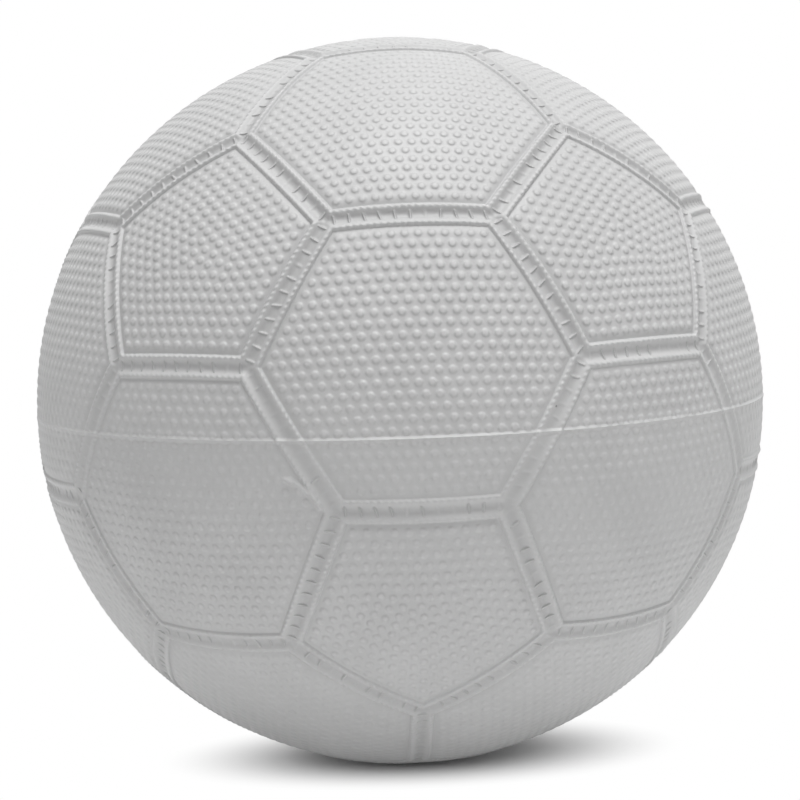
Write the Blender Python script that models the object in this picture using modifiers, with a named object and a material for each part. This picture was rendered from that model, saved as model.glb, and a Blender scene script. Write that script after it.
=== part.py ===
"""A moulded rubber handball, size 3: two cover halves, thread winding, bladder and needle valve.

Frame: metres, +Z up. The ball rests on the plane Z = 0 with its centre above the origin.
+Z is the mould's axis: the parting plane is level, a five-sided panel lies at each pole, the valve
is in the upper one, and a lower five-sided panel faces -Y, where the photographed side is.
"""

import math

import bmesh
import bpy
from mathutils import Matrix, Vector

# Ball
BALL_DIAMETER = 0.1878       # over the seam welts, for a girth of 590 mm
BALL_MASS = 0.450            # kilograms
AIR_PRESSURE = 42000.0       # pascals above the outside air
GRAVITY = 9.81

# Seam relief, measured from the seam's middle line and from the panels' surface
WELT_RISE = 0.00035
WELT_CREST_OFFSET = 0.0021
WELT_FOOT_OFFSET = 0.0030
VALLEY_DROP = 0.00025

# Parting line: each half ends in half of the raised flash
PARTING_GAP = 0.0003
FLASH_RISE = 0.0002
FLASH_WIDTH = 0.0005

# Layers, from the outside in
COVER_WALL = 0.0021
WINDING_WALL = 0.0005
BLADDER_WALL = 0.0010
LAYER_GAP = 0.0003

# Valve
VALVE_SINK = 0.0006          # top of the valve below the panel's surface
FIT_GAP = 0.0003             # between the bush, its plug and the holes they pass through
NECK_RADIUS = 0.0052
FLANGE_RADIUS = 0.0115
FLANGE_THICKNESS = 0.0012
BODY_RADIUS = 0.0048
BODY_LENGTH = 0.0065         # bush below its flange
PATCH_RADIUS = 0.0170
PATCH_THICKNESS = 0.0008
PLUG_STEM_RADIUS = 0.0026
PLUG_LENGTH = 0.0120
PLUG_CHAMFER = 0.0006
PLUG_HEAD_RADIUS = 0.0036
PLUG_HEAD_THICKNESS = 0.0012
FUNNEL_RADIUS = 0.0014       # mouth of the slit that the pump's needle opens
FUNNEL_DEPTH = 0.0025
BALANCE_RADIUS = 0.0165

# Mesh counts
PANEL_RINGS = 5              # rings of triangles from a panel's middle to its seam
SEGMENTS = 32                # round pieces, round the mould's axis
SPHERE_RINGS = 16            # round pieces, from pole to pole
ARC_STEPS = 4                # along the curved face of a turned piece
CUT_SNAP = 1e-6
MERGE_DISTANCE = 1e-6

# Radii and heights that follow from the sizes above
PANEL_RADIUS = BALL_DIAMETER / 2 - WELT_RISE
CONTACT_RADIUS = math.sqrt(BALL_MASS * GRAVITY / AIR_PRESSURE / math.pi)
CENTRE_HEIGHT = math.sqrt(PANEL_RADIUS ** 2 - CONTACT_RADIUS ** 2)
COVER_INSIDE = PANEL_RADIUS - COVER_WALL
WINDING_OUTSIDE = COVER_INSIDE - LAYER_GAP
WINDING_INSIDE = WINDING_OUTSIDE - WINDING_WALL
BLADDER_OUTSIDE = WINDING_INSIDE - LAYER_GAP
BLADDER_INSIDE = BLADDER_OUTSIDE - BLADDER_WALL
FACET_SAG = BLADDER_INSIDE * (1 - math.cos(math.pi / SPHERE_RINGS / 2))
PATCH_OUTSIDE = BLADDER_INSIDE - FACET_SAG - LAYER_GAP
PATCH_INSIDE = PATCH_OUTSIDE - PATCH_THICKNESS
FLANGE_OUTSIDE = PATCH_INSIDE - LAYER_GAP
FLANGE_INSIDE = FLANGE_OUTSIDE - FLANGE_THICKNESS
VALVE_HOLE_RADIUS = NECK_RADIUS + FIT_GAP
VALVE_TOP = PANEL_RADIUS - VALVE_SINK


def clear_scene():
    """Start from an empty scene."""
    for item in list(bpy.data.objects):
        bpy.data.objects.remove(item, do_unlink=True)


def add_collection(name):
    """A collection linked to the scene."""
    group = bpy.data.collections.new(name)
    bpy.context.scene.collection.children.link(group)
    return group


def rubber(name, colour, roughness):
    """A plain Principled material."""
    material = bpy.data.materials.new(name)
    material.use_nodes = True
    shader = material.node_tree.nodes["Principled BSDF"]
    shader.inputs["Base Color"].default_value = (*colour, 1.0)
    shader.inputs["Roughness"].default_value = roughness
    shader.inputs["Metallic"].default_value = 0.0
    return material


def add_piece(name, mesh, material, group, centre):
    """An object for one sub-part, carried by the ball's centre."""
    piece = bpy.data.objects.new(name, mesh)
    piece.parent = centre
    group.objects.link(piece)
    if material:
        mesh.materials.append(material)
    return piece


def mesh_from(shape, name):
    """Turn a finished bmesh into a smooth-shaded mesh."""
    mesh = bpy.data.meshes.new(name)
    shape.to_mesh(mesh)
    shape.free()
    mesh.shade_smooth()
    return mesh


def all_geometry(shape):
    """Everything in a bmesh, as its cutting operator wants it."""
    return shape.verts[:] + shape.edges[:] + shape.faces[:]


def panel_body():
    """The flat-sided body of 32 panels: an icosahedron with its corners cut off at a third of each edge."""
    body = bmesh.new()
    bmesh.ops.create_icosphere(body, subdivisions=1, radius=1.0)
    lowest = min(body.verts, key=lambda corner: corner.co.z)
    low_ring = [edge.other_vert(lowest) for edge in lowest.link_edges]
    front = min(low_ring, key=lambda corner: corner.co.y)
    turn = -math.pi / 2 - math.atan2(front.co.y, front.co.x)
    bmesh.ops.rotate(body, verts=body.verts[:], cent=(0, 0, 0), matrix=Matrix.Rotation(turn, 3, "Z"))
    third = body.edges[:][0].calc_length() / 3
    bmesh.ops.bevel(body, geom=body.verts[:], offset=third, offset_type="OFFSET", segments=1,
                    profile=0.5, affect="VERTICES", clamp_overlap=False)
    return body


def panel_frames(body):
    """Each panel's middle and the middles of its sides."""
    frames = []
    for face in body.faces:
        middles = [(edge.verts[0].co + edge.verts[1].co) / 2 for edge in face.edges]
        frames.append((face.calc_center_median(), middles))
    return frames


def relief_point(point, frames):
    """Where a point of the flat-sided body lies on the moulded ball."""
    centre, middles = max(frames, key=lambda frame: point.dot(frame[0]) / frame[0].length_squared)
    arm = point - centre
    apothem = (middles[0] - centre).length
    share = max(arm.dot(middle - centre) for middle in middles) / apothem ** 2
    ring = round(share * PANEL_RINGS)
    half_angle = math.atan(apothem / centre.length)

    def share_at(offset):
        return math.tan(half_angle - offset / PANEL_RADIUS) / math.tan(half_angle)

    foot_ring = PANEL_RINGS - 2
    shares = {PANEL_RINGS: 1.0, PANEL_RINGS - 1: share_at(WELT_CREST_OFFSET)}
    heights = {PANEL_RINGS: -VALLEY_DROP, PANEL_RINGS - 1: WELT_RISE}
    wanted = shares.get(ring, share_at(WELT_FOOT_OFFSET) * ring / foot_ring)
    if ring > 0:
        point = centre + arm * (wanted / share)
    return point.normalized() * (PANEL_RADIUS + heights.get(ring, 0.0))


def moulded_ball():
    """The whole outer surface, as a grid of triangles in each panel with the seams in relief."""
    ball = panel_body()
    frames = panel_frames(ball)
    bmesh.ops.poke(ball, faces=ball.faces[:])
    bmesh.ops.subdivide_edges(ball, edges=ball.edges[:], cuts=PANEL_RINGS - 1, use_grid_fill=True)
    for corner in ball.verts:
        corner.co = relief_point(corner.co, frames)
    return ball


def add_sphere(shape, radius, faces_in):
    """Add a round surface to a bmesh, turned inside out where it lines a hollow."""
    made = bmesh.ops.create_uvsphere(shape, u_segments=SEGMENTS, v_segments=SPHERE_RINGS, radius=radius)
    faces = list({face for corner in made["verts"] for face in corner.link_faces})
    if faces_in:
        bmesh.ops.reverse_faces(shape, faces=faces)


def raise_flash(shape, level):
    """Lift the outer edge at the parting plane into half of the flash."""
    for corner in shape.verts:
        if abs(corner.co.z - level) < CUT_SNAP:
            flat = Vector((corner.co.x, corner.co.y, 0.0))
            corner.co += flat.normalized() * FLASH_RISE


def flatten_rest(shape):
    """Cut the small flat that the ball's weight presses against the floor."""
    cut = bmesh.ops.bisect_plane(shape, geom=all_geometry(shape), dist=CUT_SNAP,
                                 plane_co=(0, 0, -CENTRE_HEIGHT), plane_no=(0, 0, -1), clear_outer=True)
    ring = [item for item in cut["geom_cut"] if isinstance(item, bmesh.types.BMEdge)]
    bmesh.ops.edgeloop_fill(shape, edges=ring)


def cover_half_mesh(name, side):
    """One half of the cover: side is 1 above the parting plane and -1 below it."""
    half = moulded_ball()
    rim = side * PARTING_GAP / 2
    flash_edge = rim + side * FLASH_WIDTH
    bmesh.ops.bisect_plane(half, geom=all_geometry(half), dist=CUT_SNAP,
                           plane_co=(0, 0, flash_edge), plane_no=(0, 0, 1))
    bmesh.ops.bisect_plane(half, geom=all_geometry(half), dist=CUT_SNAP,
                           plane_co=(0, 0, rim), plane_no=(0, 0, side), clear_inner=True)
    raise_flash(half, rim)
    if side < 0:
        flatten_rest(half)
    lining = bmesh.new()
    add_sphere(lining, COVER_INSIDE, True)
    bmesh.ops.bisect_plane(lining, geom=all_geometry(lining), dist=CUT_SNAP,
                           plane_co=(0, 0, rim), plane_no=(0, 0, side), clear_inner=True)
    lining_mesh = bpy.data.meshes.new(name + "_lining")
    lining.to_mesh(lining_mesh)
    lining.free()
    half.from_mesh(lining_mesh)
    bpy.data.meshes.remove(lining_mesh)
    edges = [edge for edge in half.edges if edge.is_boundary]
    bmesh.ops.triangle_fill(half, edges=edges, use_beauty=True)
    bmesh.ops.recalc_face_normals(half, faces=half.faces[:])
    return mesh_from(half, name)


def shell_mesh(name, outside, inside):
    """A closed round layer with its hollow."""
    shell = bmesh.new()
    add_sphere(shell, outside, False)
    add_sphere(shell, inside, True)
    return mesh_from(shell, name)


def cap_arc(radius, from_reach, to_reach, side):
    """Points along a spherical cap about the mould's axis, as (distance from the axis, height)."""
    points = []
    for step in range(ARC_STEPS + 1):
        reach = from_reach + (to_reach - from_reach) * step / ARC_STEPS
        points.append((reach, side * math.sqrt(radius ** 2 - reach ** 2)))
    return points


def turned_volume(profile):
    """Volume of the solid that a profile sweeps round the axis."""
    total = 0.0
    for (near, low), (far, high) in zip(profile, profile[1:] + profile[:1]):
        total += (low - high) * (near ** 2 + near * far + far ** 2) * math.pi / 3
    return total


def turned_mesh(name, profile, closed):
    """The profile of a turned piece, ready for its Screw modifier."""
    points = [(reach, 0.0, height) for reach, height in profile]
    edges = [(index, index + 1) for index in range(len(points) - 1)]
    if closed:
        edges.append((len(points) - 1, 0))
    mesh = bpy.data.meshes.new(name)
    mesh.from_pydata(points, edges, [])
    return mesh


def turn_round_axis(piece):
    """Sweep a profile round the mould's axis."""
    screw = piece.modifiers.new("turned", "SCREW")
    screw.axis = "Z"
    screw.angle = 2 * math.pi
    screw.steps = SEGMENTS
    screw.render_steps = SEGMENTS
    screw.use_merge_vertices = True
    screw.merge_threshold = MERGE_DISTANCE
    screw.use_smooth_shade = True


def valve_seat_profile():
    """Bush: neck to the surface, flange under the patch, body below, bore for the plug."""
    bore = PLUG_STEM_RADIUS + FIT_GAP
    counterbore = PLUG_HEAD_RADIUS + FIT_GAP
    shoulder = VALVE_TOP - PLUG_HEAD_THICKNESS - FIT_GAP
    flange_top = cap_arc(FLANGE_OUTSIDE, NECK_RADIUS, FLANGE_RADIUS, 1)
    flange_under = cap_arc(FLANGE_INSIDE, FLANGE_RADIUS, BODY_RADIUS, 1)
    body_end = flange_under[-1][1] - BODY_LENGTH
    return ([(NECK_RADIUS, VALVE_TOP)] + flange_top + flange_under
            + [(BODY_RADIUS, body_end), (bore, body_end), (bore, shoulder)]
            + [(counterbore, shoulder), (counterbore, VALVE_TOP)])


def valve_patch_profile():
    """Disc between the bladder and the bush's flange."""
    outer_face = cap_arc(PATCH_OUTSIDE, VALVE_HOLE_RADIUS, PATCH_RADIUS, 1)
    inner_face = cap_arc(PATCH_INSIDE, PATCH_RADIUS, VALVE_HOLE_RADIUS, 1)
    return outer_face + inner_face


def valve_plug_profile():
    """Core of the valve, from the bottom of its funnel round to its lower end, with its top at zero."""
    return [(0.0, -FUNNEL_DEPTH), (FUNNEL_RADIUS, 0.0), (PLUG_HEAD_RADIUS, 0.0),
            (PLUG_HEAD_RADIUS, -PLUG_HEAD_THICKNESS), (PLUG_STEM_RADIUS, -PLUG_HEAD_THICKNESS),
            (PLUG_STEM_RADIUS, PLUG_CHAMFER - PLUG_LENGTH),
            (PLUG_STEM_RADIUS - PLUG_CHAMFER, -PLUG_LENGTH), (0.0, -PLUG_LENGTH)]


def balance_patch_profile():
    """Disc opposite the valve, as much rubber as the valve adds."""
    through = COVER_WALL + WINDING_WALL + BLADDER_WALL
    hole = math.pi * VALVE_HOLE_RADIUS ** 2 * through
    added = (turned_volume(valve_seat_profile()) + turned_volume(valve_patch_profile())
             + turned_volume(valve_plug_profile()) - hole)
    thickness = added / (math.pi * BALANCE_RADIUS ** 2)
    upper_face = cap_arc(PATCH_OUTSIDE - thickness, 0.0, BALANCE_RADIUS, -1)
    lower_face = cap_arc(PATCH_OUTSIDE, BALANCE_RADIUS, 0.0, -1)
    return upper_face + lower_face


def add_valve_cutter(group, centre):
    """Round cutter for the hole that the valve passes through."""
    depth = 2 * (PANEL_RADIUS - BLADDER_INSIDE) + 2 * VALVE_HOLE_RADIUS
    shape = bmesh.new()
    bmesh.ops.create_cone(shape, cap_ends=True, segments=SEGMENTS, radius1=VALVE_HOLE_RADIUS,
                          radius2=VALVE_HOLE_RADIUS, depth=depth)
    cutter = add_piece("valve_hole_cutter", mesh_from(shape, "valve_hole_cutter"), None, group, centre)
    cutter.location = (0, 0, (PANEL_RADIUS + BLADDER_INSIDE) / 2)
    cutter.hide_render = True
    cutter.display_type = "WIRE"
    return cutter


def cut_valve_hole(piece, cutter):
    """Let the valve through a layer."""
    boolean = piece.modifiers.new("valve_hole", "BOOLEAN")
    boolean.operation = "DIFFERENCE"
    boolean.solver = "EXACT"
    boolean.object = cutter


def build_handball():
    """Make every piece of the ball."""
    clear_scene()
    parts = add_collection("handball")
    cutters = add_collection("handball_cutters")
    centre = bpy.data.objects.new("ball_centre", None)
    centre.location = (0, 0, CENTRE_HEIGHT)
    parts.objects.link(centre)

    cover = rubber("cover_rubber", (0.60, 0.60, 0.60), 0.62)
    cover_below = rubber("cover_rubber_below", (0.60, 0.60, 0.60), 0.62)
    thread = rubber("nylon_thread", (0.72, 0.70, 0.64), 0.80)
    butyl = rubber("butyl_rubber", (0.030, 0.030, 0.032), 0.55)
    patch = rubber("patch_rubber", (0.045, 0.045, 0.047), 0.60)
    bush = rubber("bush_rubber", (0.060, 0.060, 0.062), 0.55)
    core = rubber("core_rubber", (0.52, 0.52, 0.51), 0.55)
    weight = rubber("balance_rubber", (0.045, 0.045, 0.047), 0.60)

    cutter = add_valve_cutter(cutters, centre)
    upper = add_piece("cover_upper_half", cover_half_mesh("cover_upper_half", 1), cover, parts, centre)
    add_piece("cover_lower_half", cover_half_mesh("cover_lower_half", -1), cover_below, parts, centre)
    winding_mesh = shell_mesh("thread_winding", WINDING_OUTSIDE, WINDING_INSIDE)
    winding = add_piece("thread_winding", winding_mesh, thread, parts, centre)
    bladder_mesh = shell_mesh("bladder", BLADDER_OUTSIDE, BLADDER_INSIDE)
    bladder = add_piece("bladder", bladder_mesh, butyl, parts, centre)
    for layer in (upper, winding, bladder):
        cut_valve_hole(layer, cutter)

    seat_mesh = turned_mesh("valve_seat", valve_seat_profile(), True)
    turn_round_axis(add_piece("valve_seat", seat_mesh, bush, parts, centre))
    patch_mesh = turned_mesh("valve_patch", valve_patch_profile(), True)
    turn_round_axis(add_piece("valve_patch", patch_mesh, patch, parts, centre))
    plug_mesh = turned_mesh("valve_plug", valve_plug_profile(), False)
    plug = add_piece("valve_plug", plug_mesh, core, parts, centre)
    plug.location = (0, 0, VALVE_TOP)
    turn_round_axis(plug)
    balance_mesh = turned_mesh("balance_patch", balance_patch_profile(), False)
    turn_round_axis(add_piece("balance_patch", balance_mesh, weight, parts, centre))

    print("ball centre at", round(CENTRE_HEIGHT, 6), "rests on a flat of radius", round(CONTACT_RADIUS, 6))
    print("valve top at", round(CENTRE_HEIGHT + VALVE_TOP, 6))


build_handball()
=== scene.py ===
# %% [markdown]
# # A moulded rubber handball
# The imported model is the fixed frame: two cover halves, a thread winding, a bladder, patches and a valve.
# This lesson dresses it. The cover halves are made again in twelve fine pieces with seams, pimples and
# moulded stitches, the valve gets its rounded rubber lips, and every layer gets a rubber or thread finish.
# All sizes are in metres, and the ball stands on Z = 0 with its centre above the origin.

# %% Load the frame
import math

import bmesh
import bpy
import numpy as np
from mathutils import Matrix, Vector


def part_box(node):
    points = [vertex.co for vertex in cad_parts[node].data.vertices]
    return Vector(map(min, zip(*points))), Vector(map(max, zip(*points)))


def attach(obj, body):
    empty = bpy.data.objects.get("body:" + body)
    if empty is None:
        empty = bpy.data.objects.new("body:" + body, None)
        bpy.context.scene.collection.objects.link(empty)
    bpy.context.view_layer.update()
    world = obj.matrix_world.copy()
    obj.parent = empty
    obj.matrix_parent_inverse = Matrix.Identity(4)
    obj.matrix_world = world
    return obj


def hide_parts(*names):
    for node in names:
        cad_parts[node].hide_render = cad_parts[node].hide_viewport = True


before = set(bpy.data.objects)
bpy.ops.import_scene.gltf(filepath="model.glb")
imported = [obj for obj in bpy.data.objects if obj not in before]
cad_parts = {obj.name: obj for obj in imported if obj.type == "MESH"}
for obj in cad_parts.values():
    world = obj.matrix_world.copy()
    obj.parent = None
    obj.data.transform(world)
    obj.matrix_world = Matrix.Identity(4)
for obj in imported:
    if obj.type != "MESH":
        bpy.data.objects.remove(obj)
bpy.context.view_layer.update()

# %% [markdown]
# ## Where the ball's centre is
# The ball is pressed a little flat where it stands, so its centre is lower than its radius. The parting
# line of the mould is level and runs through the centre, so the centre is read halfway between the rims
# of the two cover halves.

# %% Centre and radii
PANEL_RADIUS = 0.09355
COVER_WALL = 0.0021
upper_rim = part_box("cover_upper_half")[0].z
lower_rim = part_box("cover_lower_half")[1].z
CENTRE = Vector((0, 0, (upper_rim + lower_rim) / 2))
print("ball centre at", round(CENTRE.z * 1000, 2), "mm")

# %% [markdown]
# ## Camera
# The ball is seen from nearly level with its middle, from six ball radii away. The mould's axis leans a
# little to the left in the picture, so the camera is rolled by that much. The lens follows from the share
# of the picture's width that the ball fills.

# %% Camera
BALL_RADIUS = 0.0937
VIEW_AZIMUTH, VIEW_ELEVATION = math.radians(-92.63), math.radians(5.27)
VIEW_ROLL = math.radians(1.87)
RADII_AWAY = 6.31
BALL_SHARE = 0.908
SENSOR = 36.0
NEAREST_SEEN, FARTHEST_SEEN = 0.01, 20


def put_in_scene(name, data):
    """A new object in the scene."""
    made = bpy.data.objects.new(name, data)
    bpy.context.scene.collection.objects.link(made)
    return made


camera = put_in_scene("camera", bpy.data.cameras.new("camera"))
away = Vector((math.cos(VIEW_AZIMUTH) * math.cos(VIEW_ELEVATION),
               math.sin(VIEW_AZIMUTH) * math.cos(VIEW_ELEVATION), math.sin(VIEW_ELEVATION)))
camera.location = CENTRE + away * RADII_AWAY * BALL_RADIUS
camera.rotation_mode = "QUATERNION"
camera.rotation_quaternion = ((-away).to_track_quat("-Z", "Y")
                              @ Matrix.Rotation(-VIEW_ROLL, 3, "Z").to_quaternion())
camera.data.sensor_width = SENSOR
camera.data.lens = SENSOR / 2 * BALL_SHARE * math.sqrt(RADII_AWAY ** 2 - 1)
camera.data.clip_start, camera.data.clip_end = NEAREST_SEEN, FARTHEST_SEEN
bpy.context.scene.camera = camera
print("lens", round(camera.data.lens, 1), "mm, camera", [round(v, 3) for v in camera.location])

# %% [markdown]
# ## The panel body
# The ball shows 12 five-sided and 20 six-sided panels. That body is an icosahedron with its corners cut
# off at a third of each edge, so an icosphere with one vertex bevel makes it. It is turned until a lower
# five-sided panel faces the camera's side, as on the CAD part.

# %% Panel body
def panel_body():
    """The flat-sided body of 32 panels."""
    body = bmesh.new()
    bmesh.ops.create_icosphere(body, subdivisions=1, radius=1.0)
    lowest = min(body.verts, key=lambda corner: corner.co.z)
    low_ring = [edge.other_vert(lowest) for edge in lowest.link_edges]
    front = min(low_ring, key=lambda corner: corner.co.y)
    turn = -math.pi / 2 - math.atan2(front.co.y, front.co.x)
    bmesh.ops.rotate(body, verts=body.verts[:], cent=(0, 0, 0), matrix=Matrix.Rotation(turn, 3, "Z"))
    third = body.edges[:][0].calc_length() / 3
    bmesh.ops.bevel(body, geom=body.verts[:], offset=third, offset_type="OFFSET", segments=1,
                    profile=0.5, material=-1, affect="VERTICES", clamp_overlap=False)
    return body


body = panel_body()
panel_sides = np.array([len(face.verts) for face in body.faces])
panel_middle = np.array([face.calc_center_median() for face in body.faces])
side_arm = np.zeros((len(panel_sides), 6, 3))
side_seam = np.zeros((len(panel_sides), 6), int)
for number, face in enumerate(body.faces):
    for place, edge in enumerate(face.edges):
        side_arm[number, place] = (edge.verts[0].co + edge.verts[1].co) / 2 - face.calc_center_median()
        side_seam[number, place] = edge.index
seam_count = len(body.edges)
body.free()
panel_reach = np.linalg.norm(side_arm[:, 0], axis=1)
panel_level = np.linalg.norm(panel_middle, axis=1)
panel_axis = panel_middle / panel_level[:, None]
side_out = side_arm / panel_reach[:, None, None]
side_along = np.cross(panel_axis[:, None, :], side_out)
half_angle = np.arctan(panel_reach / panel_level)
corner_slope = np.tan(np.pi / panel_sides)
print(len(panel_sides), "panels,", seam_count, "seams, half widths",
      sorted({round(float(a) * PANEL_RADIUS * 1000, 2) for a in half_angle}), "mm")

# %% [markdown]
# ## How fine the skin is
# A panel is cut into triangles round its middle, and each triangle into a grid. The grid's rings follow
# the rows of pimples, a few rings for each row, and crowd together where the seam is. Both kinds of panel
# need the same number of rings, because they share the points along a seam. A five-sided panel has eight
# rows of pimples, a six-sided one eleven.

# %% Rings
PIMPLE_ROWS = {5: 8, 6: 11}
ROW_SPACING = {5: 0.00275, 6: 0.00266}
RINGS_PER_ROW = {5: 9, 6: 7}
SEAM_STEPS = np.array([3.6, 3.4, 3.25, 3.12, 3.0, 2.88, 2.75, 2.6, 2.4, 2.2, 2.0, 1.75, 1.5, 1.25,
                       1.0, 0.75, 0.5, 0.25, 0.0]) / 1000
BORDER_STEPS = 1
RINGS = PIMPLE_ROWS[6] * RINGS_PER_ROW[6] + BORDER_STEPS + len(SEAM_STEPS)
TINY = 1e-9

ring_angle = {}
for sides, rows in PIMPLE_ROWS.items():
    edge_angle = half_angle[panel_sides == sides][0]
    rows_end = ROW_SPACING[sides] * rows / PANEL_RADIUS
    inner = np.linspace(0, rows_end, rows * RINGS_PER_ROW[sides] + 1)
    border = RINGS - rows * RINGS_PER_ROW[sides] - len(SEAM_STEPS)
    seam = edge_angle - SEAM_STEPS / PANEL_RADIUS
    ring_angle[sides] = np.concatenate([inner, np.linspace(rows_end, seam[0], border + 2)[1:-1], seam])
    print(sides, "sides:", len(ring_angle[sides]) - 1, "rings,", rows, "rows of pimples")


def angle_at(panel, ring):
    """Angle from the panel's middle to the middle of a ring's side."""
    steps = np.arange(RINGS + 1)
    return np.where(panel_sides[panel] == 6, np.interp(ring, steps, ring_angle[6]),
                    np.interp(ring, steps, ring_angle[5]))


def row_dot(first, second):
    """How far each row of the first array reaches along the same row of the second."""
    return np.einsum("nj,nj->n", first, second)


def on_ball(panel, side, angle, share):
    """Directions of places at an angle from the panel's middle; share runs from -1 to 1 along a side."""
    out = np.tan(angle)
    along = out * corner_slope[panel] * share
    point = (panel_axis[panel] + out[:, None] * side_out[panel, side]
             + along[:, None] * side_along[panel, side])
    return point / np.linalg.norm(point, axis=1)[:, None]


def grid_places(flat):
    """Panel, side, ring and share along the ring of points on the flat-sided body."""
    panel = np.argmax(flat @ (panel_middle / panel_level[:, None] ** 2).T, axis=1)
    arm = flat - panel_middle[panel]
    reach = np.einsum("nj,nsj->ns", arm, side_out[panel])
    side = np.argmax(reach, axis=1)
    out = reach[np.arange(len(flat)), side]
    along = row_dot(arm, side_along[panel, side])
    ring = np.round(out / panel_reach[panel] * RINGS)
    share = np.where(ring > 0, along / np.maximum(out * corner_slope[panel], TINY), 0.0)
    return panel, side, ring, np.clip(share, -1, 1)

# %% [markdown]
# ## Uneven moulding
# Rubber doesn't fill a mould evenly, so no two bumps are quite alike and the lower half is a little
# softer, and so is the relief next to the parting line, where the mould leaks. Slow, seeded waves over the
# ball give the rest of that change, the same on every run.

# %% Uneven moulding
LOWER_HALF_FILL = 0.74
PIMPLE_PARTING_LOSS, SEAM_PARTING_LOSS, PARTING_REACH = 0.12, 0.52, 0.24
HALF_CHANGE = 0.01
WAVES, WAVE_STRENGTH = 6, 1.7
FILL_CHANGE, FILL_WAVELENGTH, FILL_SEED = 0.10, 0.06, 5


def soft_bump(distance, reach):
    """1 in the middle, falling smoothly to 0 at reach."""
    share = np.clip(np.abs(distance) / reach, 0, 1)
    return (1 - share ** 2) ** 2


def smooth_step(value, start, end):
    """0 before start, 1 after end, smooth between."""
    share = np.clip((value - start) / (end - start), 0, 1)
    return share * share * (3 - 2 * share)


def slow_waves(point, wavelength, seed):
    """A slow change over the ball, about -1 to 1."""
    chance = np.random.default_rng(seed)
    waves = chance.normal(size=(WAVES, 3)) * 2 * math.pi * PANEL_RADIUS / wavelength
    phases = chance.uniform(0, 2 * math.pi, WAVES)
    return np.sin(point @ waves.T + phases).mean(axis=1) * WAVE_STRENGTH


def left_by_leak(point, loss):
    """Share of the relief that is left next to the leaking parting line."""
    return 1 - loss * soft_bump(point[:, 2], PARTING_REACH)


def fill_of_mould(point, parting_loss):
    """How fully the rubber filled the mould."""
    lower = 1 - smooth_step(point[:, 2], -HALF_CHANGE, 0.0)
    even = 1 - (1 - LOWER_HALF_FILL) * lower
    waves = 1 + FILL_CHANGE * slow_waves(point, FILL_WAVELENGTH, FILL_SEED)
    return even * left_by_leak(point, parting_loss) * waves


print("relief of the lower half has", LOWER_HALF_FILL, "of the full height")

# %% [markdown]
# ## Seam, stitches and nibs
# Each seam is two raised lips with a shallow valley between them and a narrow crease outside. Moulded
# stitches lie across the valley, eleven to a side, and a row of small nibs runs along each lip. They are
# all heights above the panel's surface, read off the distance to the seam's middle and along it.

# %% Seam relief
SEAM_DISTANCE = np.array([0.0, 0.25, 0.5, 0.75, 1.0, 1.25, 1.5, 1.7, 1.9, 2.1, 2.3, 2.45, 2.6, 2.75, 2.88,
                          2.98, 3.1, 3.3, 3.6, 4.0, 4.4, 4.8]) / 1000
SEAM_HEIGHT = np.array([-0.74, -0.72, -0.64, -0.50, -0.29, -0.03, 0.26, 0.43, 0.50, 0.51, 0.48, 0.41, 0.22,
                        -0.10, -0.36, -0.42, -0.42, -0.37, -0.27, -0.15, -0.05, 0.0]) / 1000
STITCHES, STITCH_PITCH, STITCH_HEIGHT = 11, 0.003455, 0.00066
STITCH_HALF_WIDTH, STITCH_HALF_LENGTH = 0.00048, 0.00125
STITCH_STRENGTHS, STITCH_LEANS, STITCH_SEED = (0.45, 1.0), (-0.10, 0.35), 11
NIB_PITCH, NIB_HEIGHT, NIB_OFFSET, NIB_REACH, NIB_SLANT = 0.001536, 0.00048, 0.0023, 0.00080, 0.5
NIB_MEAN, NIB_CHANGE, NIB_WAVELENGTH, NIB_SEED = 0.7, 0.3, 0.008, 23
SEAM_SENSE = np.array([0.31, 0.52, 0.79])
hands = np.random.default_rng(STITCH_SEED)
stitch_strength = hands.uniform(*STITCH_STRENGTHS, (seam_count, STITCHES))
stitch_lean = hands.uniform(*STITCH_LEANS, (seam_count, STITCHES))


def seam_place(panel, side, point):
    """Distance from the seam's middle, and the way along it from the middle of the side."""
    depth = row_dot(point, panel_axis[panel])
    angle = np.arctan(row_dot(point, side_out[panel, side]) / depth)
    sideways = row_dot(point, side_along[panel, side]) / depth
    return (half_angle[panel] - angle) * PANEL_RADIUS, np.arctan(sideways * np.cos(angle)) * PANEL_RADIUS


def nearest_stitch(panel, side, lateral):
    """Number of the nearest stitch, and which way its seam runs on this side."""
    facing = np.sign(side_along[panel, side] @ SEAM_SENSE)
    which = np.round(lateral * facing / STITCH_PITCH) + STITCHES // 2
    return np.clip(which, 0, STITCHES - 1).astype(int), facing


def way_to_stitch(panel, side, from_seam, lateral, which, facing):
    """How far beside a stitch a place is."""
    lean = stitch_lean[side_seam[panel, side], which] * from_seam * facing
    return lateral * facing - (which - STITCHES // 2) * STITCH_PITCH + lean


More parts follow.
